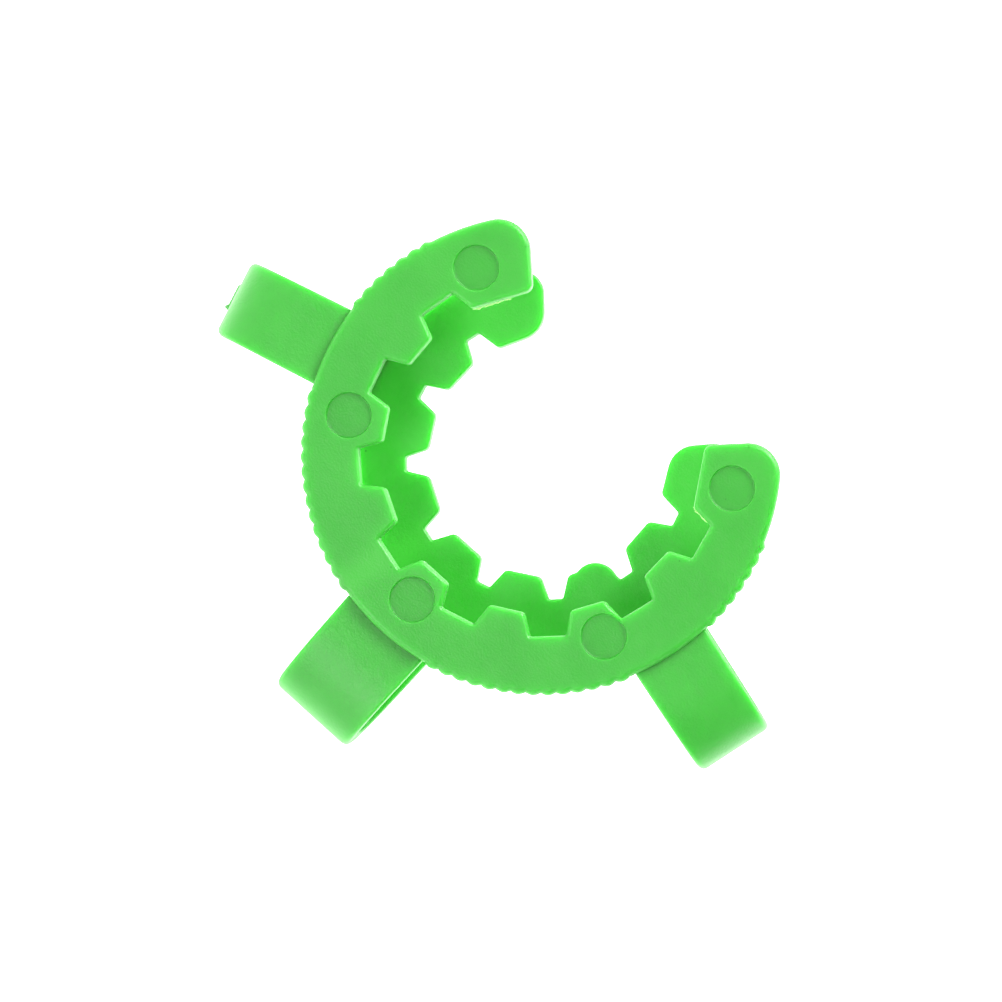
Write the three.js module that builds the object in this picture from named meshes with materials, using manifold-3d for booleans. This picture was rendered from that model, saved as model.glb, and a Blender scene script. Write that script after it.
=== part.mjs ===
// Conical ground-joint clip: two C-shaped toothed rings, one above the other, tied by three
// hairpin spring bridges. The upper ring grips the socket's rim, the lower ring grips the cone's
// tube. The mouth of both rings opens towards -Y, the middle bridge points to +Y, and the clip
// stands on its lower ring. Millimetres, +Z up, origin at the bottom centre of the whole part.
// Angles are in degrees round the tube axis, counted from the back (+Y) towards +X.

import * as THREE from 'three';
import { mergeVertices } from 'three/addons/utils/BufferGeometryUtils.js';
import Module from 'manifold-3d';

const wasm = await Module();
wasm.setup();

// ---- driving dimensions -------------------------------------------------------------------

const OVERALL_HEIGHT = 13.0;
const RING_THICKNESS = 2.5;
const GRIP_BUMP_PITCH = 3.63;
const GRIP_END_ANGLE = 110.7;

// Both rings follow one pattern: valleys at half pitches, teeth between them, and a plain lobe at
// each side of the mouth. Only the upper ring's rim carries grip bumps.
const SOCKET_RING = {
  outerRadius: 20.87, bumpHeight: 0.17, outerCornerRadius: 2.8,
  pitch: 29.36, valleyRadius: 16.0, valleyWidth: 3.19, tipRadius: 13.94, tipWidth: 3.08,
  lobeRootAngle: 108.7, lobeTipAngle: 112.2, lobeTipRadius: 14.05,
  lobeEndRadius: 14.25, endAngle: 134.8, innerCornerRadius: 0.8,
};
const CONE_RING = {
  outerRadius: 16.8, bumpHeight: 0, outerCornerRadius: 2.0,
  pitch: 30.28, valleyRadius: 12.65, valleyWidth: 1.28, tipRadius: 10.66, tipWidth: 3.18,
  lobeRootAngle: 108.9, lobeTipAngle: 113.8, lobeTipRadius: 10.65,
  lobeEndRadius: 11.2, endAngle: 136.6, innerCornerRadius: 2.5,
};

const EJECTOR_RADIUS = 2.0;
const EJECTOR_DEPTH = 0.2;
const EJECTOR_CIRCLE_RADIUS = 17.1;
const EJECTOR_PITCH = 60;
const EJECTOR_TURN = -1.1;
const PAD_RADIUS = 2.0;
const PAD_CIRCLE_RADIUS = 12.15;
const PAD_ANGLE = -62.5;

const BRIDGE_REACH = 30.8;
const BRIDGE_SIDE_ANGLE = 75;
const BRIDGE_THICKNESS = 1.6;
const BRIDGE_FACE_INSET = 0.9;
const BRIDGE_BEND_REACH = 7.5;
const BRIDGE_LEG_POWER = 2.2;
const BRIDGE_END_POWER = 3.2;
const BRIDGE_CORNER_RADIUS = 1.0;
const SIDE_BRIDGE_WIDTHS = [7.35, 7.1];
const BACK_BRIDGE_WIDTHS = [8.75, 8.35];

// Where the flexing sides of each ring meet its back, and the clearance left between pieces.
const FLEX_ANGLE = 15;
const CLEARANCE = 0.3;
const CUT_DEPTH = 1.0;

// ---- geometry helpers ---------------------------------------------------------------------

const radians = THREE.MathUtils.degToRad;

function polar(radius, degrees) {
  const a = radians(degrees);
  return new THREE.Vector2(radius * Math.sin(a), radius * Math.cos(a));
}

function toSolid(geometry) {
  const plain = geometry.clone();
  plain.deleteAttribute('normal');
  plain.deleteAttribute('uv');
  const merged = mergeVertices(plain, 1e-5);
  return new wasm.Manifold(new wasm.Mesh({
    numProp: 3,
    vertProperties: new Float32Array(merged.attributes.position.array),
    triVerts: new Uint32Array(merged.index.array),
  }));
}

function toGeometry(solid) {
  const mesh = solid.getMesh();
  const geometry = new THREE.BufferGeometry();
  geometry.setAttribute('position', new THREE.BufferAttribute(mesh.vertProperties, 3));
  geometry.setIndex(new THREE.BufferAttribute(mesh.triVerts, 1));
  geometry.computeVertexNormals();
  return geometry;
}

function slab(outline, bottom, height) {
  const geometry = new THREE.ExtrudeGeometry(new THREE.Shape(outline), {
    depth: height, bevelEnabled: false,
  });
  geometry.translate(0, 0, bottom);
  return toSolid(geometry);
}

function disc(radius, centre, bottom, height, segments = 32) {
  const geometry = new THREE.CylinderGeometry(radius, radius, height, segments);
  geometry.rotateX(Math.PI / 2);
  geometry.translate(centre.x, centre.y, bottom + height / 2);
  return toSolid(geometry);
}

// Points of the arc that rounds a corner between two straight sides.
function roundedCorner(before, corner, after, radius, steps) {
  const u = before.clone().sub(corner).normalize();
  const v = after.clone().sub(corner).normalize();
  const half = Math.acos(THREE.MathUtils.clamp(u.dot(v), -1, 1)) / 2;
  const bisector = u.clone().add(v).normalize();
  const centre = corner.clone().addScaledVector(bisector, radius / Math.sin(half));
  const start = corner.clone().addScaledVector(u, radius / Math.tan(half)).sub(centre);
  const end = corner.clone().addScaledVector(v, radius / Math.tan(half)).sub(centre);
  const turn = Math.atan2(start.cross(end), start.dot(end));
  return Array.from({ length: steps + 1 }, (_, i) =>
    start.clone().rotateAround(new THREE.Vector2(), (turn * i) / steps).add(centre));
}

// ---- the two rings ------------------------------------------------------------------------

// The angle that half of a chord spans, seen from the tube axis.
function halfAngle(chord, radius) {
  return THREE.MathUtils.radToDeg(Math.asin(chord / 2 / radius));
}

// The grip bumps run round the rim, except behind the bridges and on the end lobes.
function rimRadius(ring, degrees) {
  const besideBack = degrees > halfAngle(BACK_BRIDGE_WIDTHS[0], ring.outerRadius);
  const besideBridge = Math.abs(degrees - BRIDGE_SIDE_ANGLE)
    > halfAngle(SIDE_BRIDGE_WIDTHS[0], ring.outerRadius);
  if (!besideBack || !besideBridge) return ring.outerRadius;
  const wave = Math.abs(Math.cos((Math.PI * degrees) / GRIP_BUMP_PITCH));
  return ring.outerRadius + ring.bumpHeight * wave;
}

// Right-hand half of a ring's outline, from the back round the rim to the mouth and back along
// the teeth.
function halfOutline(ring) {
  const rim = [];
  const rimStep = ring.bumpHeight > 0 ? GRIP_BUMP_PITCH / 4 : GRIP_BUMP_PITCH;
  for (let a = 0; a < GRIP_END_ANGLE; a += rimStep) rim.push(polar(rimRadius(ring, a), a));
  const filletRadius = ring.outerRadius - ring.outerCornerRadius;
  const filletTurn = halfAngle(2 * ring.outerCornerRadius, filletRadius);
  const filletAngle = ring.endAngle - filletTurn;
  for (let a = GRIP_END_ANGLE; a < filletAngle; a += 3) rim.push(polar(ring.outerRadius, a));

  const filletCentre = polar(filletRadius, filletAngle);
  for (let i = 0; i <= 6; i += 1) {
    const a = filletAngle + ((90 + filletTurn) * i) / 6;
    rim.push(polar(ring.outerCornerRadius, a).add(filletCentre));
  }

  const lobeTip = polar(ring.lobeTipRadius, ring.lobeTipAngle);
  const lobeEnd = polar(ring.lobeEndRadius, ring.endAngle);
  const endFace = polar(filletRadius, ring.endAngle);
  const inner = roundedCorner(endFace, lobeEnd, lobeTip, ring.innerCornerRadius, 6);
  inner.push(lobeTip, polar(ring.valleyRadius, ring.lobeRootAngle));

  const valleyTurn = halfAngle(ring.valleyWidth, ring.valleyRadius);
  const tipTurn = halfAngle(ring.tipWidth, ring.tipRadius);
  for (let tooth = 3; tooth >= 0; tooth -= 1) {
    const valley = (tooth + 0.5) * ring.pitch;
    const tip = tooth * ring.pitch;
    if (tooth < 3) inner.push(polar(ring.valleyRadius, valley + valleyTurn));
    inner.push(polar(ring.valleyRadius, valley - valleyTurn));
    inner.push(polar(ring.tipRadius, tip + tipTurn));
    if (tooth > 0) inner.push(polar(ring.tipRadius, tip - tipTurn));
  }
  return [...rim, ...inner];
}

// The half outline joined to its mirror image.
function ringOutline(ring) {
  const right = halfOutline(ring);
  const left = right.slice(1).reverse().map((p) => new THREE.Vector2(-p.x, p.y));
  return [...right, ...left];
}

function socketRing() {
  const bottom = OVERALL_HEIGHT - RING_THICKNESS;
  let ring = slab(ringOutline(SOCKET_RING), bottom, RING_THICKNESS);
  for (let i = -2; i <= 2; i += 1) {
    const centre = polar(EJECTOR_CIRCLE_RADIUS, i * EJECTOR_PITCH + EJECTOR_TURN);
    const cut = disc(EJECTOR_RADIUS, centre, OVERALL_HEIGHT - EJECTOR_DEPTH, CUT_DEPTH);
    ring = ring.subtract(cut);
  }
  return ring;
}

function coneRing() {
  const ring = slab(ringOutline(CONE_RING), 0, RING_THICKNESS);
  return ring.add(disc(PAD_RADIUS, polar(PAD_CIRCLE_RADIUS, PAD_ANGLE), 0, RING_THICKNESS));
}

// A wedge between two angles, each of its sides drawn in by half the clearance.
function wedge(from, to) {
  const reach = 2 * SOCKET_RING.outerRadius;
  const inset = CLEARANCE / 2;
  const apex = polar(inset / Math.sin(radians((to - from) / 2)), (from + to) / 2);
  const outline = [apex];
  for (let i = 0; i <= 8; i += 1) {
    outline.push(polar(reach, from + ((to - from) * i) / 8).add(apex));
  }
  return slab(outline, -CUT_DEPTH, OVERALL_HEIGHT + 2 * CUT_DEPTH);
}

function ringPieces(ring) {
  return {
    back: ring.intersect(wedge(-FLEX_ANGLE, FLEX_ANGLE)),
    right: ring.intersect(wedge(FLEX_ANGLE, 180 - FLEX_ANGLE)),
    left: ring.intersect(wedge(FLEX_ANGLE - 180, -FLEX_ANGLE)),
  };
}

// ---- the hairpin bridges ------------------------------------------------------------------

// One wall of the hairpin, from its upper leg round the bend to its lower leg, as seen from the
// side: x runs outwards, y runs up. The outer skin follows two quarters of a squarish ellipse
// between flat legs, and the wall lies the given depth inside it.
function hairpinWall(depth) {
  const start = BRIDGE_REACH - BRIDGE_BEND_REACH;
  const middle = OVERALL_HEIGHT / 2;
  const rise = middle - BRIDGE_FACE_INSET;
  const wall = [new THREE.Vector2(SOCKET_RING.outerRadius - CUT_DEPTH, middle + rise - depth)];
  for (let i = 0; i <= 24; i += 1) {
    const a = Math.PI * (0.5 - i / 24);
    const x = Math.abs(Math.cos(a)) ** (2 / BRIDGE_LEG_POWER);
    const y = Math.abs(Math.sin(a)) ** (2 / BRIDGE_END_POWER);
    const outwards = new THREE.Vector2(
      (BRIDGE_LEG_POWER * x ** (BRIDGE_LEG_POWER - 1)) / BRIDGE_BEND_REACH,
      (BRIDGE_END_POWER * y ** (BRIDGE_END_POWER - 1)) / rise,
    ).normalize();
    wall.push(new THREE.Vector2(
      start + BRIDGE_BEND_REACH * x - depth * outwards.x,
      middle + Math.sign(a) * (rise * y - depth * outwards.y),
    ));
  }
  wall.push(new THREE.Vector2(CONE_RING.outerRadius - CUT_DEPTH, middle - rise + depth));
  return wall;
}

// A bridge pointing along +Y: the hairpin's side view drawn through its width, trimmed to its
// tapering plan with round outer corners, and kept clear of the rings' rims.
function bridge([rootWidth, endWidth]) {
  const profile = [...hairpinWall(0), ...hairpinWall(BRIDGE_THICKNESS).reverse()];
  const sideView = new THREE.ExtrudeGeometry(new THREE.Shape(profile), {
    depth: rootWidth, bevelEnabled: false,
  });
  sideView.translate(0, 0, -rootWidth / 2);
  sideView.rotateX(Math.PI / 2);
  sideView.rotateZ(Math.PI / 2);

  const root = CONE_RING.outerRadius - CUT_DEPTH;
  const corners = [
    new THREE.Vector2(rootWidth / 2, root),
    new THREE.Vector2(endWidth / 2, BRIDGE_REACH),
    new THREE.Vector2(-endWidth / 2, BRIDGE_REACH),
    new THREE.Vector2(-rootWidth / 2, root),
  ];
  const plan = [
    corners[0],
    ...roundedCorner(corners[0], corners[1], corners[2], BRIDGE_CORNER_RADIUS, 4),
    ...roundedCorner(corners[1], corners[2], corners[3], BRIDGE_CORNER_RADIUS, 4),
    corners[3],
  ];
  const trim = slab(plan, -CUT_DEPTH, OVERALL_HEIGHT + 2 * CUT_DEPTH);
  const middle = OVERALL_HEIGHT / 2;
  const axis = new THREE.Vector2();
  const upperRim = disc(SOCKET_RING.outerRadius + CLEARANCE, axis, middle, middle, 144);
  const lowerRim = disc(CONE_RING.outerRadius + CLEARANCE, axis, 0, middle, 144);
  return toSolid(sideView).intersect(trim).subtract(upperRim).subtract(lowerRim);
}

// ---- the scene graph ----------------------------------------------------------------------

const group = new THREE.Group();

function addPiece(name, geometry, colour, turn = 0) {
  const material = new THREE.MeshStandardMaterial({ color: colour, roughness: 0.42, metalness: 0 });
  const mesh = new THREE.Mesh(geometry, material);
  mesh.name = name;
  mesh.rotation.z = -radians(turn);
  group.add(mesh);
}

const SOCKET_GREEN = 0x5fd058;
const CONE_GREEN = 0x4fc948;
const BRIDGE_GREEN = 0x57c951;

for (const [place, solid] of Object.entries(ringPieces(socketRing()))) {
  addPiece(`socket_ring_${place}`, toGeometry(solid), SOCKET_GREEN);
}
for (const [place, solid] of Object.entries(ringPieces(coneRing()))) {
  addPiece(`cone_ring_${place}`, toGeometry(solid), CONE_GREEN);
}
addPiece('spring_bridge_back', toGeometry(bridge(BACK_BRIDGE_WIDTHS)), BRIDGE_GREEN);
const sideBridge = toGeometry(bridge(SIDE_BRIDGE_WIDTHS));
addPiece('spring_bridge_right', sideBridge, BRIDGE_GREEN, BRIDGE_SIDE_ANGLE);
addPiece('spring_bridge_left', sideBridge, BRIDGE_GREEN, -BRIDGE_SIDE_ANGLE);

// The tube axis stands in front of the part's middle, because the bridges reach further back
// than the mouth reaches forward.
const middle = new THREE.Box3().setFromObject(group).getCenter(new THREE.Vector3());
group.position.set(0, -middle.y, 0);
group.updateMatrixWorld(true);

export default group;
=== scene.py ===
# Conical ground-joint clip, one green moulding: two toothed rings, one above the other, tied by
# three hairpin bridges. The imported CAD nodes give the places; the pieces made here carry the
# fine surface. Lengths are in millimetres about the tube axis and become metres when a mesh is
# made. Angles are in degrees round that axis, counted from the back (+Y) towards +X.

import math

import bpy
import numpy as np
from mathutils import Matrix, Vector
from mathutils.geometry import delaunay_2d_cdt


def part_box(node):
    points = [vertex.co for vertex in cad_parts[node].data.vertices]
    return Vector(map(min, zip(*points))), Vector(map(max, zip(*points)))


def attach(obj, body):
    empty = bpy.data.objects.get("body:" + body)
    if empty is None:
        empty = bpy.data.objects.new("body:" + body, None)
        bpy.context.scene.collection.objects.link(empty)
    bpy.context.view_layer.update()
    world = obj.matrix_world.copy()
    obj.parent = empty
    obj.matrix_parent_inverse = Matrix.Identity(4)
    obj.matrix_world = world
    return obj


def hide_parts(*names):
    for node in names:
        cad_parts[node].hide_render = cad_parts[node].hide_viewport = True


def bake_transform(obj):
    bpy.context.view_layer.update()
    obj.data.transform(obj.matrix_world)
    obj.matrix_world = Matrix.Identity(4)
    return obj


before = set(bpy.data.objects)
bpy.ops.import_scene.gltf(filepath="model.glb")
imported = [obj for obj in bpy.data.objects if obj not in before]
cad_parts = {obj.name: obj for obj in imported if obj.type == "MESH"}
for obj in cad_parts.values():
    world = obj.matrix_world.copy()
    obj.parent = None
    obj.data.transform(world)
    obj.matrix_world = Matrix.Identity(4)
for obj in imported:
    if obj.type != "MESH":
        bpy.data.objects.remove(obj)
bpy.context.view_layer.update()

MM = 0.001

# ---- driving dimensions -------------------------------------------------------------------

GRIP_BUMP_PITCH = 3.63
GRIP_END_ANGLE = 110.7
GRIP_FADE_ANGLE = 1.8

SOCKET_RING = {
    "node": "socket_ring", "outer": 20.87, "bump": 0.22, "outer_corner": 2.8,
    "pitch": 29.36, "valley": 16.0, "valley_width": 3.19, "tip": 13.94, "tip_width": 3.08,
    "lobe_root_angle": 108.7, "lobe_tip_angle": 112.2, "lobe_tip": 14.05,
    "lobe_end": 14.25, "end_angle": 134.8, "lobe_corner": 0.8,
    "tip_corner": 0.5, "valley_corner": 0.25, "edge": 0.36, "rim_edge": 0.52,
}
CONE_RING = {
    "node": "cone_ring", "outer": 16.8, "bump": 0.0, "outer_corner": 2.0,
    "pitch": 30.28, "valley": 12.65, "valley_width": 1.28, "tip": 10.66, "tip_width": 3.18,
    "lobe_root_angle": 108.9, "lobe_tip_angle": 113.8, "lobe_tip": 10.65,
    "lobe_end": 11.2, "end_angle": 136.6, "lobe_corner": 2.5,
    "tip_corner": 0.6, "valley_corner": 0.25, "edge": 0.25, "rim_edge": 0.25,
}

EJECTOR = {
    "radius": 2.0, "depth": 0.2, "rim": 0.03, "rim_reach": 0.1, "clearance": 0.02,
    "circle": 17.0, "pitch": 60.0, "turn": -1.1, "shift": 0.18,
}
PAD = {"radius": 2.0, "circle": 12.15, "angle": -62.5}

# The least radius that a ring's edge keeps where an ejector mark comes close to it.
LEAST_EDGE = 0.04

# Ragged flash at the foot of the upper lobes: how far it stands out, how deep it is rooted in
# the wall, and the heights of its four edges above the bottom face.
LOBE_FLASH = {"proud": 0.28, "least": 0.02, "root": 0.1, "heights": (0.3, 0.24, 0.2, 0.1)}

BRIDGE_REACH = 30.8
BRIDGE_SIDE_ANGLE = 75.0
BRIDGE_THICKNESS = 1.6
BRIDGE_BEND = 7.5
LEG_POWER = 2.2
END_POWER = 3.2
BRIDGE_END_CORNER = 0.62
BRIDGE_EDGE = 0.24
ROOT_OVERLAP = 0.02
SIDE_WIDTHS = (7.35, 7.1)
BACK_WIDTHS = (8.75, 8.35)

# A side bridge's halves: the lower one's tongue slides in the upper one's pocket.
TONGUE_INSET = 0.12
TONGUE_REACH = 1.35
POCKET_INSET = 0.09
POCKET_DEPTH = 1.42
HALVES_GAP = 0.004

# The gate's torn stub on the right bridge: its ends across the bridge, its middle above
# mid-height, how far it stands out, and the spike at one end.
GATE = {
    "from": -1.3, "to": 1.25, "height": 1.1, "above": 0.6, "proud": 0.2, "root": 0.01,
    "spike": 0.3, "spike_inset": 0.25, "spike_width": 0.22,
}

# The parting line's ridge: how far above mid-height and how proud each of its stations is.
RIDGE = ((0.22, 0.0), (0.18, 0.025), (0.12, 0.025), (0.08, 0.0))

FLOOR_GAP = 0.03

# How bright the tent is towards +X and +Y, and everywhere, and how its horizon fades upwards.
TENT_WALLS = {"X": 1.05, "Y": 1.8}
TENT_FILL = 0.06
HORIZON = {"From Min": 0.06, "From Max": 0.12, "To Min": 1.0, "To Max": 0.0}

# Each lamp: the direction towards it, its distance and side, and its power in watts.
LAMPS = {
    "mouth_box": ((-0.10, -0.84, 0.53), 500, 250, 3.7),
    "back_box": ((0.11, 0.36, 0.93), 420, 120, 0.42),
}

# The camera's focal length, its three turns, and the ring's middle as the camera sees it.
CAMERA = {
    "lens": 206.5, "spin": 138.05, "tilt": -1.4245, "lean": -3.3072,
    "offset": (3.517, 4.168, -500.0),
}


def heights(node):
    low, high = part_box(node)
    return low.z / MM, high.z / MM


AXIS_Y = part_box("spring_bridge_back")[1].y / MM - BRIDGE_REACH
BRIDGE_BOTTOM, BRIDGE_TOP = heights("spring_bridge_back")
BRIDGE_MIDDLE = (BRIDGE_BOTTOM + BRIDGE_TOP) / 2


# ---- mesh building ------------------------------------------------------------------------

def polar(radius, degrees):
    a = math.radians(degrees)
    return np.array([radius * math.sin(a), radius * math.cos(a)])


def half_angle(chord, radius):
    """The angle that half of a chord spans, seen from the tube axis."""
    return math.degrees(math.asin(chord / 2 / radius))


class Surface:
    """Faces with a chosen normal at every corner, so that flats stay flat beside rounded edges."""

    def __init__(self):
        self.points = []
        self.faces = []
        self.normals = []
        self.tones = []

    def add(self, points, normals, faces, tone=0):
        start = len(self.points)
        self.points.extend(points)
        self.tones.extend([tone] * len(faces))
        for face in faces:
            self.faces.append([start + i for i in face])
            self.normals.extend(normals[i] for i in face)

    def grid(self, points, normals, closed=False):
        """points and normals are arrays of rows x columns x 3. When closed, the last column joins
        the first."""
        rows, columns = points.shape[:2]
        faces = []
        for c in range(columns if closed else columns - 1):
            d = (c + 1) % columns
            for r in range(rows - 1):
                faces.append([r * columns + c, (r + 1) * columns + c,
                              (r + 1) * columns + d, r * columns + d])
        points, normals, faces = points.reshape(-1, 3), normals.reshape(-1, 3), np.array(faces)
        a, b, c, d = (points[faces[:, i]] for i in range(4))
        facing = (np.cross(c - a, d - b) * normals[faces].sum(axis=1)).sum()
        if facing < 0:
            faces = faces[:, ::-1]
        self.add(points, normals, faces.tolist())

    def flat(self, loops, z, up, tone=0):
        """Fills the area between closed loops at one height."""
        points, edges = [], []
        for loop in loops:
            start, size = len(points), len(loop)
            points.extend(loop)
            edges.extend((start + i, start + (i + 1) % size) for i in range(size))
        found = delaunay_2d_cdt([Vector(p) for p in points], edges, [], 0, 1e-9)
        corners = np.array([tuple(p) for p in found[0]])
        triangles = np.array(found[2])
        inside = triangles[inside_loops(corners[triangles].mean(axis=1), loops)]
        a, b, c = (corners[inside[:, i]] for i in range(3))
        turn = (b[:, 0] - a[:, 0]) * (c[:, 1] - a[:, 1]) - (b[:, 1] - a[:, 1]) * (c[:, 0] - a[:, 0])
        wrong = (turn > 0) != up
        inside[wrong] = inside[wrong][:, ::-1]
        points3 = np.column_stack([corners, np.full(len(corners), z)])
        normals = np.tile([0.0, 0.0, 1.0 if up else -1.0], (len(corners), 1))
        self.add(points3, normals, inside.tolist(), tone)

    def cap(self, ring_points):
        """One flat face round a closed loop of points in space."""
        ring_points = np.asarray(ring_points)
        after = np.roll(ring_points, -1, axis=0)
        normal = np.cross(ring_points, after).sum(axis=0)
        normal = normal / np.linalg.norm(normal)
        self.add(ring_points, [normal] * len(ring_points), [list(range(len(ring_points)))])

    def make(self, name, materials, turn=0.0):
        """Turns the surface about the tube axis, joins equal points and makes the object."""
        a = math.radians(-turn)
        spin = np.array([[math.cos(a), -math.sin(a), 0], [math.sin(a), math.cos(a), 0], [0, 0, 1]])
        points = np.array(self.points) @ spin.T + [0, AXIS_Y, 0]
        normals = np.array(self.normals) @ spin.T
        keys = np.round(points * 1e4).astype(np.int64)
        _, first, index = np.unique(keys, axis=0, return_index=True, return_inverse=True)
        index = index.ravel()
        mesh = bpy.data.meshes.new(name)
        mesh.from_pydata(points[first] * MM, [], [[int(index[i]) for i in f] for f in self.faces])
        mesh.polygons.foreach_set("use_smooth", [True] * len(mesh.polygons))
        mesh.polygons.foreach_set("material_index", self.tones)
        mesh.normals_split_custom_set(normals / np.linalg.norm(normals, axis=1)[:, None])
        for material in materials:
            mesh.materials.append(material)
        piece = bpy.data.objects.new(name, mesh)
        bpy.context.scene.collection.objects.link(piece)
        return piece


def inside_loops(points, loops):
    """For each point, whether an odd number of loop edges lies to its right."""
    count = np.zeros(len(points), int)
    for loop in loops:
        loop = np.asarray(loop)
        for (x0, y0), (x1, y1) in zip(loop, np.roll(loop, -1, axis=0)):
            crosses = (points[:, 1] < y0) != (points[:, 1] < y1)
            if y0 != y1:
                x = x0 + (points[:, 1] - y0) * (x1 - x0) / (y1 - y0)
                count += crosses & (points[:, 0] < x)
    return count % 2 == 1


def straight(start, end, step=0.3):
    """Points from start to just before end."""
    count = max(1, math.ceil(np.linalg.norm(end - start) / step))
    return [start + (end - start) * i / count for i in range(count)]


def rounded(corners, steps=7):
    """A path through (point, radius) corners, each rounded by its radius. The ends stay sharp."""
    path = [corners[0][0]]
    for (before, _), (corner, radius), (after, _) in zip(corners, corners[1:], corners[2:]):
        u = (before - corner) / np.linalg.norm(before - corner)
        v = (after - corner) / np.linalg.norm(after - corner)
        half = math.acos(np.clip(u @ v, -1, 1)) / 2
        centre = corner + (u + v) / np.linalg.norm(u + v) * radius / math.sin(half)
        first = corner + u * radius / math.tan(half) - centre
        last = corner + v * radius / math.tan(half) - centre
        turn = math.atan2(first[0] * last[1] - first[1] * last[0], first @ last)
        path.extend(straight(path.pop(), centre + first))
        for i in range(steps + 1):
            a = turn * i / steps
            path.append(centre + [first[0] * math.cos(a) - first[1] * math.sin(a),
                                  first[0] * math.sin(a) + first[1] * math.cos(a)])
    path.extend(straight(path.pop(), corners[-1][0]))
    path.append(corners[-1][0])
    return path


def smooth(t):
    t = min(max(t, 0.0), 1.0)
    return t * t * (3 - 2 * t)


# ---- the two rings ------------------------------------------------------------------------

BUMP_STEPS = 16
FILLET_STEPS = 24


def rim_radius(ring, degrees):
    """Grip bumps run round the rim, and fade out behind the bridges and on the end lobes."""
    a = abs(degrees)
    gaps = [
        a - half_angle(BACK_WIDTHS[0], ring["outer"]),
        abs(a - BRIDGE_SIDE_ANGLE) - half_angle(SIDE_WIDTHS[0], ring["outer"]),
        GRIP_END_ANGLE - a,
    ]
    strength = smooth(min(gaps) / GRIP_FADE_ANGLE)
    wave = abs(math.cos(math.pi * a / GRIP_BUMP_PITCH))
    return ring["outer"] + ring["bump"] * wave * strength


def side_path(ring, start):
    """One side of a ring's outline: from the rim at the start angle to the mouth, and back along
    the teeth to the middle of the valley at the start angle."""
    fillet_radius = ring["outer"] - ring["outer_corner"]
    fillet_turn = half_angle(2 * ring["outer_corner"], fillet_radius)
    fillet_angle = ring["end_angle"] - fillet_turn
    count = round((fillet_angle - start) / (GRIP_BUMP_PITCH / BUMP_STEPS))
    path = []
    for i in range(count):
        a = start + (fillet_angle - start) * i / count
        path.append(polar(rim_radius(ring, a), a))
    centre = polar(fillet_radius, fillet_angle)
    for i in range(FILLET_STEPS):
        a = fillet_angle + (90 + fillet_turn) * i / FILLET_STEPS
        path.append(centre + polar(ring["outer_corner"], a))

    tip, valley = ring["tip_corner"], ring["valley_corner"]
    corners = [
        (polar(fillet_radius, ring["end_angle"]), 0),
        (polar(ring["lobe_end"], ring["end_angle"]), ring["lobe_corner"]),
        (polar(ring["lobe_tip"], ring["lobe_tip_angle"]), tip),
        (polar(ring["valley"], ring["lobe_root_angle"]), valley),
    ]
    valley_turn = half_angle(ring["valley_width"], ring["valley"])
    tip_turn = half_angle(ring["tip_width"], ring["tip"])
    for tooth in range(3, 0 if start > 0 else -1, -1):
        outer_valley = (tooth + 0.5) * ring["pitch"]
        if tooth < 3:
            corners.append((polar(ring["valley"], outer_valley + valley_turn), valley))
        corners.append((polar(ring["valley"], outer_valley - valley_turn), valley))
        corners.append((polar(ring["tip"], tooth * ring["pitch"] + tip_turn), tip))
        corners.append((polar(ring["tip"], tooth * ring["pitch"] - tip_turn), tip))
    corners.append((polar(ring["valley"], start + valley_turn), valley))
    floor = ring["valley"] * math.cos(math.radians(valley_turn))
    corners.append((polar(floor, start), 0))
    return path + rounded(corners)


def swell(points, centre, radius):
    """Moves outline points that lie inside a round pad out to its edge."""
    away = points - centre
    distance = np.linalg.norm(away, axis=1)
    reach = np.maximum(distance, radius) / np.maximum(distance, 1e-9)
    return centre + away * reach[:, None]


def outline(ring):
    """The closed outline with its normals, and how many of its points belong to the right side.
    The sides meet on a radial line through the middle of the first valley right of the back."""
    seam = ring["pitch"] / 2
    right = side_path(ring, seam)
    left = [np.array([-x, y]) for x, y in side_path(ring, -seam)][::-1]
    points = np.array(right[:-1] + left[:-1])
    if ring is CONE_RING:
        points = swell(points, polar(PAD["circle"], PAD["angle"]), PAD["radius"])
    tangent = np.roll(points, -1, axis=0) - np.roll(points, 1, axis=0)
    tangent /= np.linalg.norm(tangent, axis=1)[:, None]
    return points, np.column_stack([-tangent[:, 1], tangent[:, 0]]), len(right) - 1


def edge_profile(steps=5, wall_rows=6):
    """Rows from the bottom face round both edges to the top face. Each has its inset and its lift,
    as shares of the edge's radius, its height, as a share of the wall's, and its normal's angle."""
    rows = []
    for i in range(steps + 1):
        a = math.radians(90 * i / steps - 90)
        rows.append((1 - math.cos(a), 1 + math.sin(a), 0.0, a))
    for i in range(1, wall_rows):
        rows.append((0.0, 1 - 2 * i / wall_rows, i / wall_rows, 0.0))
    for i in range(steps + 1):
        a = math.radians(90 * i / steps)
        rows.append((1 - math.cos(a), math.sin(a) - 1, 1.0, a))
    return rows


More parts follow.
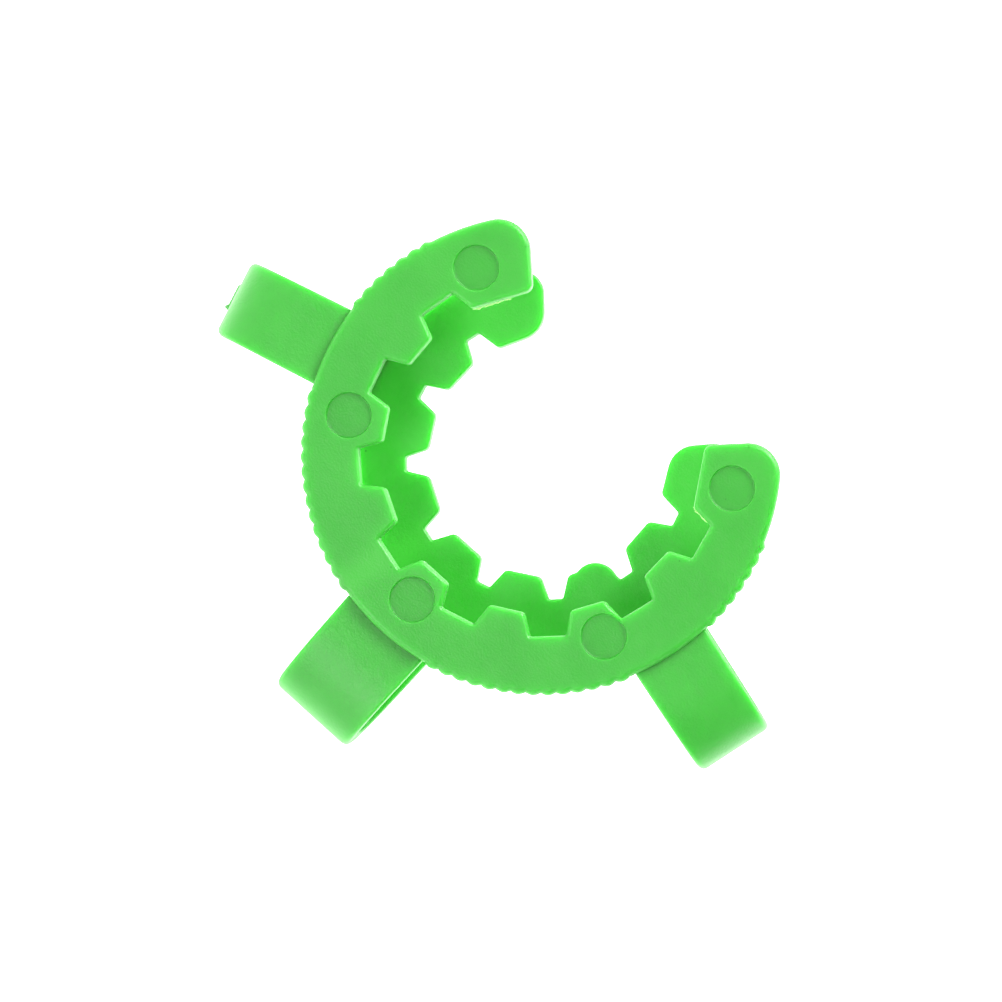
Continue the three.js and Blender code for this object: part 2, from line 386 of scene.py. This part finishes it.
def recess(surface, centre, top):
    """A round ejector mark sunk into a top face, inside a faint raised rim. Returns the loop that
    its opening leaves."""
    radius, count = EJECTOR["radius"], 72
    floor = top - EJECTOR["depth"]
    rim = top + EJECTOR["rim"]
    # Each row: its radius, its height, and its normal's outward and upward parts.
    rows = [
        (radius + EJECTOR["rim_reach"], top, 0.0, 1.0),
        (radius + 0.07, (top + rim) / 2, 0.3, 1.0),
        (radius + 0.05, rim, 0.0, 1.0),
        (radius + 0.02, rim - 0.03, -0.8, 0.6),
        (radius, rim - 0.08, -1.0, 0.1),
        (radius - 0.02, floor + 0.10, -1.0, 0.1),
        (radius - 0.06, floor + 0.03, -0.7, 0.7),
        (radius - 0.14, floor, 0.0, 1.0),
    ]
    around = [polar(1.0, -360 * i / count) for i in range(count)]
    points = [[[*(centre + u * r), z] for u in around] for r, z, _, _ in rows]
    normals = [[[*(u * side), up] for u in around] for _, _, side, up in rows]
    surface.grid(np.array(points), np.array(normals), closed=True)
    surface.flat([np.array(points[-1])[:, :2]], floor, up=True, tone=1)
    return np.array(points[0])[:, :2]


def wander(t):
    """An uneven value from 0 to 1 along a length."""
    return 0.5 + 0.25 * math.sin(9.1 * t + 1.3) + 0.25 * math.sin(23.7 * t + 0.4)


def lobe_flash(surface, ring, side, points, normals, bottom):
    """A ragged fin of flash at the foot of the wall beside the lobe's tip: before the tip on the
    left lobe, and past it on the right one."""
    radius = np.linalg.norm(points, axis=1)
    degrees = np.abs(np.degrees(np.arctan2(points[:, 0], points[:, 1])))
    if side == "right":
        chosen = (degrees > ring["lobe_tip_angle"]) & (degrees < ring["end_angle"] - 8)
        chosen &= radius < ring["lobe_end"] + 0.5
    else:
        chosen = (degrees > ring["lobe_root_angle"]) & (degrees < ring["lobe_tip_angle"] + 1)
        chosen &= radius < ring["valley"] - 0.2
    rows = []
    for i in np.flatnonzero(chosen):
        crest = LOBE_FLASH["least"] + LOBE_FLASH["proud"] * wander(i * 0.9) * wander(i * 0.37)
        reaches = (-LOBE_FLASH["root"], crest, crest, -LOBE_FLASH["root"])
        rows.append([[*(points[i] + normals[i] * reach), bottom + height]
                     for reach, height in zip(reaches, LOBE_FLASH["heights"])])
    up, down = (0.0, 0.0, 1.0), (0.0, 0.0, -1.0)
    surface.grid(np.array(rows), np.array([[up, up, down, down]] * len(rows)), closed=True)
    surface.cap(rows[0])
    surface.cap(rows[-1][::-1])


def ring_piece(ring, name, materials, side, marks):
    """One side of a ring as a closed solid, with ejector marks at the given angles."""
    points, normals, right_count = outline(ring)
    order = np.arange(len(points) + 1) % len(points)
    chosen = order[:right_count + 1] if side == "right" else order[right_count:]
    points, normals = points[chosen], normals[chosen]
    bottom, top = heights(ring["node"] + "_back")
    surface = Surface()
    band = ring["outer"] - ring["valley"] - 1
    past_valley = np.linalg.norm(points, axis=1) - ring["valley"]
    rim_share = np.array([smooth(past / band) for past in past_valley])
    edge = ring["edge"] + (ring["rim_edge"] - ring["edge"]) * rim_share
    centres = [np.array([EJECTOR["shift"], 0.0]) + polar(EJECTOR["circle"], a) for a in marks]
    mark_reach = EJECTOR["radius"] + EJECTOR["rim_reach"] + EJECTOR["clearance"]
    for centre in centres:
        room = np.linalg.norm(points - centre, axis=1) - mark_reach
        edge = np.minimum(edge, np.maximum(room, LEAST_EDGE))
    grid, slopes = [], []
    for inset, lift, share, a in edge_profile():
        height = bottom + (top - bottom) * share + edge * lift
        grid.append(np.column_stack([points - normals * (edge * inset)[:, None], height]))
        slopes.append(np.column_stack([normals * math.cos(a), np.full(len(points), math.sin(a))]))
    grid, slopes = np.array(grid), np.array(slopes)
    surface.grid(grid, slopes)
    surface.cap(np.concatenate([grid[:, 0], grid[::-1, -1]])[::-1])
    holes = [recess(surface, centre, top) for centre in centres]
    surface.flat([grid[-1][:, :2], *holes], top, up=True)
    surface.flat([grid[0][:, :2]], bottom, up=False)
    if marks:
        lobe_flash(surface, ring, side, points, normals, bottom)
    return surface.make(name, materials)


# ---- the hairpin bridges ------------------------------------------------------------------

UPPER_LEG_STEPS = 8
BEND_STEPS = 48
LOWER_LEG_STEPS = 12
CORNER_STEPS = 7


def hairpin_stations():
    """The bridge's middle line from the upper root to the lower root: distance out from the tube
    axis, height, and the direction that its outer skin faces, as an angle above outwards. The
    skin follows two quarters of a squarish ellipse between its flat legs."""
    start = BRIDGE_REACH - BRIDGE_BEND
    rise = (BRIDGE_TOP - BRIDGE_BOTTOM) / 2
    half = BRIDGE_THICKNESS / 2
    upper_root = SOCKET_RING["outer"] - SOCKET_RING["edge"] + ROOT_OVERLAP
    lower_root = CONE_RING["outer"] - CONE_RING["edge"] + ROOT_OVERLAP
    stations = []
    for i in range(UPPER_LEG_STEPS):
        out = upper_root + (start - upper_root) * i / UPPER_LEG_STEPS
        stations.append((out, BRIDGE_TOP - half, 90.0))
    for i in range(BEND_STEPS + 1):
        a = math.radians(90 - 180 * i / BEND_STEPS)
        x = abs(math.cos(a)) ** (2 / LEG_POWER)
        z = abs(math.sin(a)) ** (2 / END_POWER)
        slope = Vector((LEG_POWER * x ** (LEG_POWER - 1) / BRIDGE_BEND,
                        END_POWER * z ** (END_POWER - 1) / rise))
        slope.normalize()
        side = 1 if a > 0 else -1
        stations.append((start + BRIDGE_BEND * x - half * slope.x,
                         BRIDGE_MIDDLE + side * (rise * z - half * slope.y),
                         side * math.degrees(math.atan2(slope.y, slope.x))))
    for i in range(1, LOWER_LEG_STEPS + 1):
        out = start + (lower_root - start) * i / LOWER_LEG_STEPS
        stations.append((out, BRIDGE_BOTTOM + half, -90.0))
    return stations


def bridge_section(widths, reach, lean, inset):
    """The strap's rounded cross-section: for each point its place across the width and through
    the thickness, and its normal. The outer corners grow rounder towards the end of the bend."""
    root = CONE_RING["outer"] - 1.0
    share = (reach - root) / (BRIDGE_REACH - root)
    half_width = (widths[0] + (widths[1] - widths[0]) * share) / 2 - inset
    half_thick = BRIDGE_THICKNESS / 2 - inset
    outer = BRIDGE_EDGE + (BRIDGE_END_CORNER - BRIDGE_EDGE) * smooth(1 - abs(lean) / 90)
    corners = [(1, 1, outer, 0), (-1, 1, outer, 90), (-1, -1, BRIDGE_EDGE, 180),
               (1, -1, BRIDGE_EDGE, 270)]
    section = []
    for across, through, radius, start in corners:
        for i in range(CORNER_STEPS + 1):
            a = math.radians(start + 90 * i / CORNER_STEPS)
            section.append((across * (half_width - radius) + radius * math.cos(a),
                            through * (half_thick - radius) + radius * math.sin(a),
                            math.cos(a), math.sin(a)))
    return section


def parted(stations):
    """The stations with a faint ridge added just above mid-height, where the mould's halves met,
    and how far each station's skin lies inwards."""
    ridge = [(BRIDGE_REACH - BRIDGE_THICKNESS / 2, BRIDGE_MIDDLE + rise, 0.0) for rise, _ in RIDGE]
    above = [s for s in stations if s[1] > ridge[0][1]]
    below = stations[len(above):]
    insets = [0.0] * len(above) + [-proud for _, proud in RIDGE] + [0.0] * len(below)
    return above + ridge + below, insets


def gate_stub(surface):
    """What is left of the sprue on the outer face: a torn patch with a spike at one end."""
    columns, lines = 40, 14
    rows = []
    for i in range(columns + 1):
        across = GATE["from"] + (GATE["to"] - GATE["from"]) * i / columns
        off_spike = (across - GATE["from"] - GATE["spike_inset"]) / GATE["spike_width"]
        spike = GATE["spike"] * math.exp(-off_spike ** 2)
        row = []
        for j in range(lines + 1):
            rise = GATE["height"] * (j / lines - 0.5)
            edge = min(i, columns - i, j, lines - j)
            torn = GATE["proud"] * (0.4 + 0.6 * wander(1.7 * across + 2.3 * rise))
            ridge = spike * (1 - abs(2 * j / lines - 1))
            lift = (torn + ridge) * smooth(edge / 2) if edge else -GATE["root"]
            row.append([across, BRIDGE_REACH + lift, BRIDGE_MIDDLE + GATE["above"] + rise])
        rows.append(row)
    rows = np.array(rows)
    slopes = np.cross(np.gradient(rows, axis=1), np.gradient(rows, axis=0))
    slopes /= np.linalg.norm(slopes, axis=2)[:, :, None]
    surface.grid(rows, slopes * np.sign(slopes[:, :, 1:2].sum()))
    border = [*rows[0, :-1], *rows[:-1, -1], *rows[-1, :0:-1], *rows[:0:-1, 0]]
    surface.cap(border[::-1])


def sweep(widths, stations, insets):
    """The bridge's cross-section at each station: rows of points and their normals."""
    rows, slopes = [], []
    for (out, height, lean), inset in zip(stations, insets):
        a = math.radians(lean)
        face = np.array([0.0, math.cos(a), math.sin(a)])
        across = np.array([1.0, 0.0, 0.0])
        middle = np.array([0.0, out, height])
        section = bridge_section(widths, out, lean, inset)
        rows.append([middle + across * w + face * t for w, t, _, _ in section])
        slopes.append([across * nw + face * nt for _, _, nw, nt in section])
    return np.array(rows), np.array(slopes)


def pocket(surface, widths, mouth, skin_end):
    """Hollows out the end of an upper half, so that the tongue has room."""
    out, height, lean = mouth
    rows, slopes = sweep(widths, [mouth, (out, height + POCKET_DEPTH, lean)], [POCKET_INSET] * 2)
    lip = np.array([skin_end, rows[0]])
    surface.grid(lip, np.full(lip.shape, (0.0, 0.0, -1.0)), closed=True)
    surface.grid(rows, -slopes, closed=True)
    surface.cap(rows[-1][::-1])


def bridge_piece(name, material, widths, turn, stations, insets, gate=False, hollow=False):
    """A stretch of a bridge, swept through its stations and closed at both ends."""
    rows, slopes = sweep(widths, stations, insets)
    surface = Surface()
    surface.grid(rows, slopes, closed=True)
    surface.cap(rows[0])
    if hollow:
        pocket(surface, widths, stations[-1], rows[-1])
    else:
        surface.cap(rows[-1][::-1])
    if gate:
        gate_stub(surface)
    return surface.make(name, [material], turn)


def back_bridge(material):
    piece = bridge_piece("hairpin_back", material, BACK_WIDTHS, 0.0, *parted(hairpin_stations()))
    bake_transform(piece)
    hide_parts("spring_bridge_back")


def side_bridge(material, side):
    """Two halves that meet at mid-height. The lower one's tongue slides in the upper one, so that
    the rings can part."""
    turn = BRIDGE_SIDE_ANGLE if side == "right" else -BRIDGE_SIDE_ANGLE
    stations = hairpin_stations()
    out = BRIDGE_REACH - BRIDGE_THICKNESS / 2
    upper = [s for s in stations if s[1] > BRIDGE_MIDDLE + HALVES_GAP]
    upper.append((out, BRIDGE_MIDDLE + HALVES_GAP, 0.0))
    lower = [(out, BRIDGE_MIDDLE, 0.0)] + [s for s in stations if s[1] < BRIDGE_MIDDLE]
    tongue = [(out, BRIDGE_MIDDLE + TONGUE_REACH, 0.0), (out, BRIDGE_MIDDLE + HALVES_GAP / 2, 0.0)]
    top = bridge_piece(f"hairpin_{side}_upper", material, SIDE_WIDTHS, turn,
                       *parted(upper), gate=side == "right", hollow=True)
    base = bridge_piece(f"hairpin_{side}_lower", material, SIDE_WIDTHS, turn,
                        tongue + lower, [TONGUE_INSET] * 2 + [0.0] * len(lower))
    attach(top, f"socket_{side}")
    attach(base, f"cone_{side}")
    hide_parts(f"spring_bridge_{side}")
    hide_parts(f"spring_bridge_{side}")


# ---- materials ----------------------------------------------------------------------------

class Nodes:
    """Short calls for building a material's node tree."""

    def __init__(self, name):
        self.material = bpy.data.materials.new(name)
        self.material.use_nodes = True
        self.tree = self.material.node_tree
        self.tree.nodes.clear()

    def node(self, kind, inputs=(), **settings):
        made = self.tree.nodes.new(kind)
        for key, value in settings.items():
            setattr(made, key, value)
        for key, value in dict(inputs).items():
            if isinstance(value, bpy.types.NodeSocket):
                self.tree.links.new(value, made.inputs[key])
            else:
                made.inputs[key].default_value = value
        return made

    def math(self, operation, a, b=0.0):
        return self.node("ShaderNodeMath", {0: a, 1: b}, operation=operation).outputs[0]

    def remap(self, value, low, high, new_low, new_high):
        made = self.node("ShaderNodeMapRange", {
            "Value": value, "From Min": low, "From Max": high,
            "To Min": new_low, "To Max": new_high,
        })
        return made.outputs["Result"]

    def noise(self, place, size_mm, detail=2.0):
        made = self.node("ShaderNodeTexNoise", {
            "Vector": place, "Scale": 1 / (size_mm * MM), "Detail": detail,
        })
        return made.outputs["Fac"]

    def mix(self, share, a, b):
        made = self.node("ShaderNodeMix", data_type="RGBA")
        for socket, value in (("Factor", share), ("A", a), ("B", b)):
            found = [s for s in made.inputs if s.name == socket and s.enabled][0]
            if isinstance(value, bpy.types.NodeSocket):
                self.tree.links.new(value, found)
            else:
                found.default_value = value
        return [s for s in made.outputs if s.enabled][0]


# The colours of the clip; of the lower ring, painted lighter and greener than the upper ring as
# painted light for the light that the paper gives it; of the ejector marks' floors; and of the
# specks.
ACETAL_LIGHT = (0.050, 0.425, 0.038, 1.0)
ACETAL_DEEP = (0.043, 0.397, 0.033, 1.0)
PAINTED_LIGHT_CONE_PALE = (0.044, 0.475, 0.030, 1.0)
PAINTED_LIGHT_CONE_DEEP = (0.038, 0.445, 0.026, 1.0)
MARK_LIGHT = (0.044, 0.398, 0.034, 1.0)
MARK_DEEP = (0.039, 0.370, 0.030, 1.0)
SPECK = (0.012, 0.10, 0.012, 1.0)

# Sizes inside the acetal: colour drift, the spacing of specks, mould grain, slow waves, the depth
# of the relief and how far light spreads.
DRIFT_SIZE = 6.0
SPECK_SPACING = 3.1
GRAIN_SIZE = 0.2
WAVE_SIZE = 1.6
RELIEF_DEPTH = 0.03
LIGHT_SPREAD = 2.5

# From where to where the spread of light fades beside a ring's seam and a bridge's split. The
# back bridge has no split, so its seam lies far below it.
SEAM_FADE = (0.5, 2.0)
SPLIT_FADE = (1.8, 3.4)
FAR_SEAM = -10.0


def acetal(name, seam_normal, seam_offset, light=ACETAL_LIGHT, deep=ACETAL_DEEP, fade=SEAM_FADE):
    """Green acetal: faint colour drift, rare dark specks, fine mould grain and light that spreads
    inside it. The spread fades out beside the plane where two pieces of the moulding meet."""
    n = Nodes(name)
    place = n.node("ShaderNodeTexCoord").outputs["Object"]
    drift = n.remap(n.noise(place, DRIFT_SIZE), 0.35, 0.65, 0.0, 1.0)
    colour = n.mix(drift, deep, light)
    specks = n.node("ShaderNodeTexVoronoi", {"Vector": place, "Scale": 1 / (SPECK_SPACING * MM)})
    colour = n.mix(n.remap(specks.outputs["Distance"], 0.018, 0.03, 0.7, 0.0), colour, SPECK)
    grain = n.noise(place, GRAIN_SIZE, detail=3.0)
    waves = n.noise(place, WAVE_SIZE, detail=1.0)
    bump = n.node("ShaderNodeBump", {
        "Height": n.math("ADD", grain, waves), "Strength": 1.0, "Distance": RELIEF_DEPTH * MM,
    })
    along = n.node("ShaderNodeVectorMath", {0: place, 1: seam_normal}, operation="DOT_PRODUCT")
    away = n.math("ABSOLUTE", n.math("SUBTRACT", along.outputs["Value"], seam_offset * MM))
    spread = n.remap(away, fade[0] * MM, fade[1] * MM, 0.0, 1.0)
    shader = n.node("ShaderNodeBsdfPrincipled", {
        "Base Color": colour,
        "Roughness": n.remap(grain, 0.3, 0.7, 0.34, 0.46),
        "IOR": 1.55,
        "Normal": bump.outputs["Normal"],
        "Subsurface Weight": spread,
        "Subsurface Radius": (0.4, 1.0, 0.3),
        "Subsurface Scale": LIGHT_SPREAD * MM,
    })
    n.node("ShaderNodeOutputMaterial", {"Surface": shader.outputs["BSDF"]})
    return n.material


def radial_seam(ring):
    """The normal of the plane where a ring's two pieces meet, and its distance from the origin."""
    a = math.radians(ring["pitch"] / 2)
    normal = (math.cos(a), -math.sin(a), 0.0)
    return normal, normal[1] * AXIS_Y


def paper_floor():
    n = Nodes("paper_floor")
    place = n.node("ShaderNodeTexCoord").outputs["Object"]
    shade = n.mix(n.noise(place, 25.0), (0.93, 0.93, 0.93, 1.0), (0.95, 0.95, 0.95, 1.0))
    shader = n.node("ShaderNodeBsdfPrincipled", {
        "Base Color": shade, "Roughness": 0.9,
        "Emission Color": (1.0, 1.0, 1.0, 1.0), "Emission Strength": 1.35,
    })
    n.node("ShaderNodeOutputMaterial", {"Surface": shader.outputs["BSDF"]})
    return n.material


# ---- the clip -----------------------------------------------------------------------------

def blend_ring(piece):
    """Bakes the piece's placement into its mesh."""
    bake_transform(piece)


def make_ring(ring, body):
    normal, offset = radial_seam(ring)
    if ring is CONE_RING:
        # The lower ring's colours are painted light: lighter than the upper ring's, for the light
        # the paper gives it.
        materials = [acetal("acetal_cone_painted_light", normal, offset, PAINTED_LIGHT_CONE_PALE, PAINTED_LIGHT_CONE_DEEP)]
        marks = []
    else:
        materials = [
            acetal("acetal_socket", normal, offset),
            acetal("acetal_ejector_mark", normal, offset, MARK_LIGHT, MARK_DEEP),
        ]
        marks = [i * EJECTOR["pitch"] + EJECTOR["turn"] for i in range(-2, 3)]
    right = ring_piece(ring, f"{body}_ring_right_side", materials, "right",
                       [a for a in marks if a > ring["pitch"] / 2])
    left = ring_piece(ring, f"{body}_ring_back_and_left", materials, "left",
                      [a for a in marks if a < ring["pitch"] / 2])
    blend_ring(right)
    blend_ring(left)
    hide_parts(f"{body}_ring_right")
    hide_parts(f"{body}_ring_left", f"{body}_ring_back")


make_ring(SOCKET_RING, "socket")
make_ring(CONE_RING, "cone")
whole_bridge = acetal("acetal_back_bridge", (0.0, 0.0, 1.0), FAR_SEAM)
split_bridge = acetal("acetal_side_bridge", (0.0, 0.0, 1.0), BRIDGE_MIDDLE, fade=SPLIT_FADE)
back_bridge(whole_bridge)
side_bridge(split_bridge, "right")
side_bridge(split_bridge, "left")


# ---- floor, light and camera --------------------------------------------------------------

def floor(material, half_side=600.0):
    surface = Surface()
    square = [np.array([x, y]) * half_side for x, y in ((-1, -1), (1, -1), (1, 1), (-1, 1))]
    surface.flat([square], -FLOOR_GAP, up=True)
    surface.make("paper", [material])


def softbox(name, toward, distance, size, power):
    """A square area light that faces the clip from a direction."""
    data = bpy.data.lights.new(name, "AREA")
    data.shape = "SQUARE"
    data.size = size * MM
    data.energy = power
    lamp = bpy.data.objects.new(name, data)
    direction = Vector(toward).normalized()
    lamp.location = Vector((0, 0, BRIDGE_MIDDLE * MM)) + direction * distance * MM
    lamp.rotation_euler = direction.to_track_quat("Z", "Y").to_euler()
    bpy.context.scene.collection.objects.link(lamp)


def tent():
    """White walls round the clip: brightest behind the back bridge, dark towards the mouth, with
    a bright band low down on every side."""
    world = bpy.data.worlds.new("white_tent")
    world.use_nodes = True
    tree = world.node_tree
    place = tree.nodes.new("ShaderNodeTexCoord")
    split = tree.nodes.new("ShaderNodeSeparateXYZ")
    tree.links.new(place.outputs["Generated"], split.inputs["Vector"])
    total = None
    for axis, strength in TENT_WALLS.items():
        share = tree.nodes.new("ShaderNodeMapRange")
        tree.links.new(split.outputs[axis], share.inputs["Value"])
        share.inputs["To Max"].default_value = strength
        both = tree.nodes.new("ShaderNodeMath")
        both.inputs[1].default_value = TENT_FILL
        tree.links.new(share.outputs["Result"], both.inputs[0])
        if total:
            tree.links.new(total, both.inputs[1])
        total = both.outputs["Value"]
    band = tree.nodes.new("ShaderNodeMapRange")
    tree.links.new(split.outputs["Z"], band.inputs["Value"])
    for key, value in HORIZON.items():
        band.inputs[key].default_value = value
    sky = tree.nodes.new("ShaderNodeMath")
    tree.links.new(total, sky.inputs[0])
    tree.links.new(band.outputs["Result"], sky.inputs[1])
    tree.links.new(sky.outputs["Value"], tree.nodes["Background"].inputs["Strength"])
    tree.nodes["Background"].inputs["Color"].default_value = (1.0, 1.0, 1.0, 1.0)
    bpy.context.scene.world = world


def studio():
    tent()
    for name, settings in LAMPS.items():
        softbox(name, *settings)
    bpy.context.scene.view_settings.view_transform = "Standard"


def camera():
    """Looks down on the clip nearly along the tube axis, with the back bridge at the lower left."""
    data = bpy.data.cameras.new("camera")
    data.sensor_width = 36.0
    data.lens = CAMERA["lens"]
    eye = bpy.data.objects.new("camera", data)
    spin = Matrix.Rotation(math.radians(CAMERA["spin"]), 3, "Z")
    tilt = Matrix.Rotation(math.radians(CAMERA["tilt"]), 3, "X")
    lean = Matrix.Rotation(math.radians(CAMERA["lean"]), 3, "Y")
    to_camera = lean @ tilt @ spin
    target = Vector((0, AXIS_Y, heights("socket_ring_back")[1]))
    place = target - to_camera.transposed() @ Vector(CAMERA["offset"])
    eye.matrix_world = Matrix.Translation(place * MM) @ to_camera.transposed().to_4x4()
    bpy.context.scene.collection.objects.link(eye)
    bpy.context.scene.camera = eye


floor(paper_floor())
studio()
camera()
